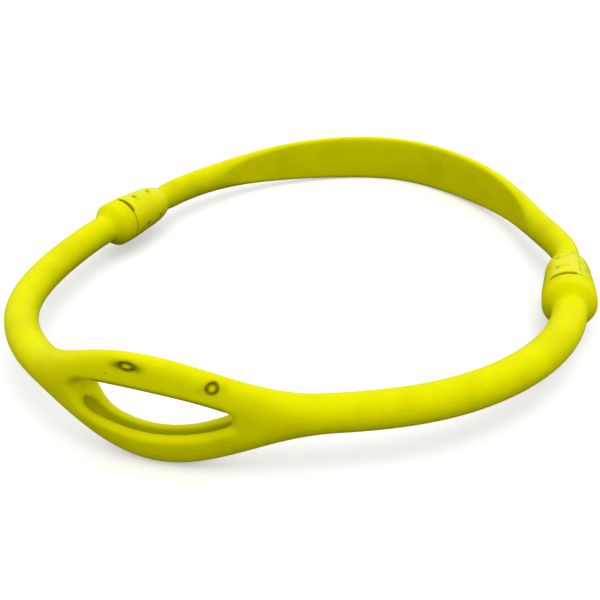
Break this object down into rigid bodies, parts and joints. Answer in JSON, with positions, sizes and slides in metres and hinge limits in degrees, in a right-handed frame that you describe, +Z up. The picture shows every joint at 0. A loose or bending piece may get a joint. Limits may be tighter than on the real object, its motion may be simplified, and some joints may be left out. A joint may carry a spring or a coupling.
{
  "type": "regulator necklace",
  "caption": "Soft ring worn round the neck: a front strap with a mouthpiece loop and a flat neck band, joined by a breakaway coupler on each side.",
  "frame": {"origin": "centre of the bounding box in plan, on the surface that the part rests on", "axes": "+X towards the wearer's left, +Y from the mouthpiece loop to the neck band, +Z up with the ring lying down"},
  "size_m": [0.1875, 0.2022, 0.0322],
  "materials": {
    "silicone": "frosted translucent silicone",
    "coupler_plastic": "moulded translucent plastic",
    "stud_plastic": "moulded nylon",
    "retaining_rubber": "smooth elastomer"
  },
  "bodies": {
    "front_strap": {"front_strap": "silicone", "left_release_stud": "stud_plastic", "right_release_stud": "stud_plastic"},
    "neck_band": {"neck_band": "silicone", "left_anchor_stud": "stud_plastic", "right_anchor_stud": "stud_plastic"},
    "left_coupler": {"left_coupler_outer_shell": "coupler_plastic", "left_coupler_inner_shell": "coupler_plastic", "left_retaining_ring": "retaining_rubber"},
    "right_coupler": {"right_coupler_outer_shell": "coupler_plastic", "right_coupler_inner_shell": "coupler_plastic", "right_retaining_ring": "retaining_rubber"}
  },
  "joints": [
    {"name": "coupler_breakaway", "type": "slide", "parent": "front_strap", "child": "neck_band", "axis": [0, 1, 0], "range_m": [0, 0.03], "deforming": ["left_retaining_ring", "right_retaining_ring"]},
    {"name": "left_coupler_swivel", "type": "hinge", "parent": "neck_band", "child": "left_coupler", "pos_m": [-0.0849, 0.00411, 0.01219], "axis": [0.1495, 0.9883, -0.0294], "continuous": true},
    {"name": "right_coupler_swivel", "type": "hinge", "parent": "neck_band", "child": "right_coupler", "pos_m": [0.0847, 0.00411, 0.01219], "axis": [-0.2147, 0.9762, -0.029], "continuous": true}
  ]
}
